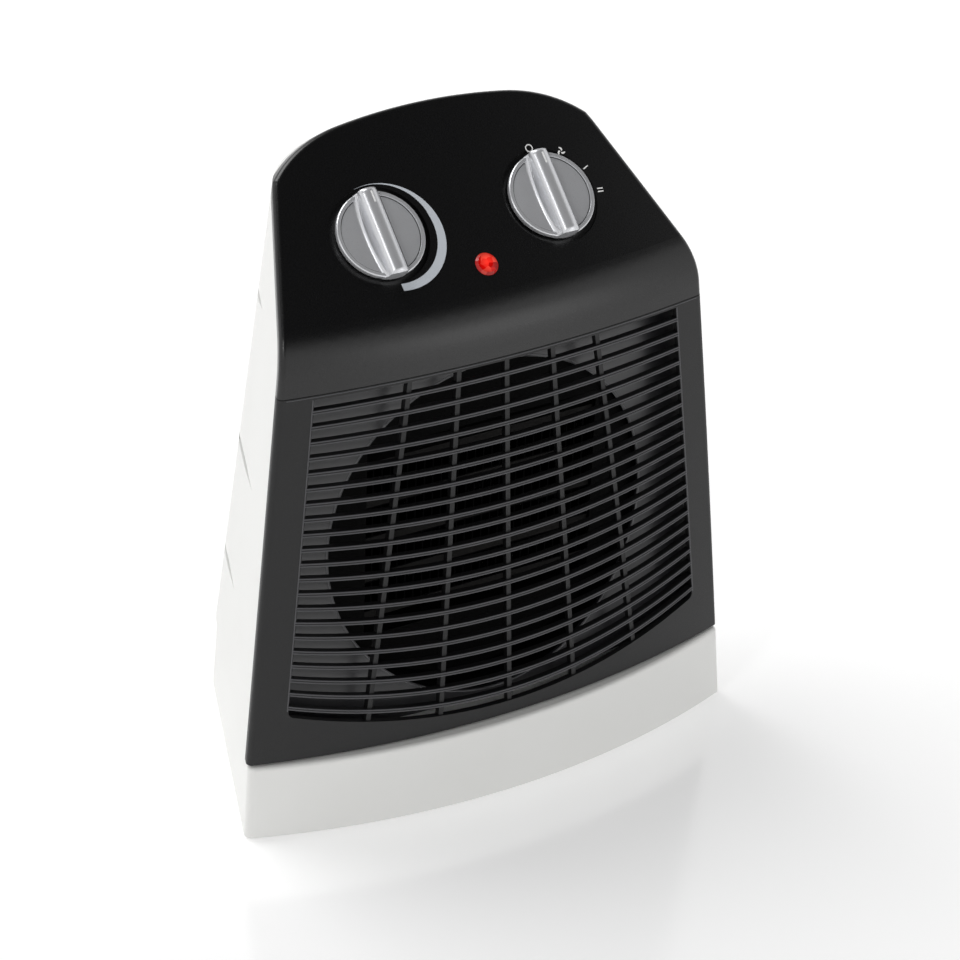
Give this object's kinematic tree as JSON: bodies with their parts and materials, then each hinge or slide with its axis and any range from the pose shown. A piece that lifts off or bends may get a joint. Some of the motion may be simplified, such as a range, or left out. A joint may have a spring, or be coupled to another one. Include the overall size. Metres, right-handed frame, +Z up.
{
  "type": "ceramic space heater",
  "caption": "Table-top ceramic fan heater: a tapering head with curved outlet grille and sloping panel with two knobs, swinging on a low base.",
  "frame": {"origin": "on the floor under the middle of the heater", "axes": "+Z up, air blows out towards -Y, X runs across the width"},
  "size_m": [0.216, 0.1424, 0.2571],
  "materials": {
    "black_plastic": "fine texture",
    "brass": "turned",
    "bronze": "sintered",
    "ceramic": "sintered",
    "clear_glass": "clear",
    "copper_coil": "enamelled",
    "core_steel": "laminated",
    "duct_plastic": "heat resistant",
    "fin_aluminium": "rolled",
    "grey_plastic": "moulded",
    "panel_plastic": "satin",
    "red_lens": "clear red",
    "rubber": "matte",
    "shield_steel": "dark lacquered",
    "silver_plastic": "silver lacquered",
    "white_acetal": "moulded",
    "white_plastic": "satin moulded",
    "zinc_steel": "zinc plated"
  },
  "bodies": {
    "base": {"base_shell": "white_plastic", "base_plate": "grey_plastic", "rubber_feet": "rubber", "base_screws": "zinc_steel", "turntable_ring": "white_acetal", "swing_motor": "zinc_steel", "tip_switch": "black_plastic"},
    "swing_crank": {"swing_crank": "white_acetal"},
    "tip_plunger": {"tip_plunger": "white_acetal"},
    "fan": {"fan_impeller": "black_plastic", "motor_shaft": "zinc_steel", "motor_rotor": "fin_aluminium", "fan_clip": "zinc_steel"},
    "thermostat_knob": {"thermostat_knob": "silver_plastic", "thermostat_shaft": "brass"},
    "selector_knob": {"selector_knob": "silver_plastic", "selector_shaft": "white_acetal"},
    "swing_button": {"swing_button": "black_plastic"},
    "head": {"casing_screws": "zinc_steel", "ceramic_bars": "ceramic", "control_panel": "panel_plastic", "cord_gland": "black_plastic", "duct_ring": "duct_plastic", "front_bracket": "zinc_steel", "front_bush": "bronze", "front_grille": "black_plastic", "head_floor": "white_plastic", "heat_shield": "shield_steel", "heater_fins": "fin_aluminium", "heater_frame": "duct_plastic", "indicator_lens": "red_lens", "motor_coil": "copper_coil", "motor_mount": "duct_plastic", "neon_lamp": "clear_glass", "rear_bracket": "zinc_steel", "rear_bush": "bronze", "rear_casing": "white_plastic", "selector_switch": "grey_plastic", "stator_core": "core_steel", "swing_arm": "zinc_steel", "swing_switch": "black_plastic", "swivel_retainer": "zinc_steel", "swivel_screws": "zinc_steel", "terminal_block": "white_acetal", "thermal_cutout": "zinc_steel", "thermal_fuse": "zinc_steel", "thermostat_body": "zinc_steel"}
  },
  "joints": [
    {"name": "head_swing", "type": "hinge", "parent": "base", "child": "head", "pos_m": [0, 0, 0.0315], "axis": [0, 0, 1], "range_deg": [-30, 30]},
    {"name": "crank_turn", "type": "hinge", "parent": "base", "child": "swing_crank", "pos_m": [0, 0.036, 0.016], "axis": [0, 0, 1], "range_deg": [-91, 91]},
    {"name": "plunger_slide", "type": "slide", "parent": "base", "child": "tip_plunger", "axis": [0, 0, -1], "range_m": [0, 0.004], "stiffness_N_per_m": 40, "springref_m": 0.006},
    {"name": "fan_spin", "type": "hinge", "parent": "head", "child": "fan", "pos_m": [0, 0, 0.107], "axis": [0, 1, 0], "continuous": true},
    {"name": "thermostat_turn", "type": "hinge", "parent": "head", "child": "thermostat_knob", "pos_m": [-0.0365, -0.01909, 0.2258], "axis": [0, 0.6551, -0.7555], "range_deg": [0, 180]},
    {"name": "selector_turn", "type": "hinge", "parent": "head", "child": "selector_knob", "pos_m": [0.0365, -0.01909, 0.2258], "axis": [0, 0.6551, -0.7555], "range_deg": [0, 96]},
    {"name": "swing_button_press", "type": "slide", "parent": "head", "child": "swing_button", "axis": [0, -0.9806, -0.1959], "range_m": [0, 0.0025], "stiffness_N_per_m": 150, "springref_m": -0.002}
  ],
  "couplings": [
    {"joint": "crank_turn", "follows": "head_swing", "ratio": 3}
  ]
}
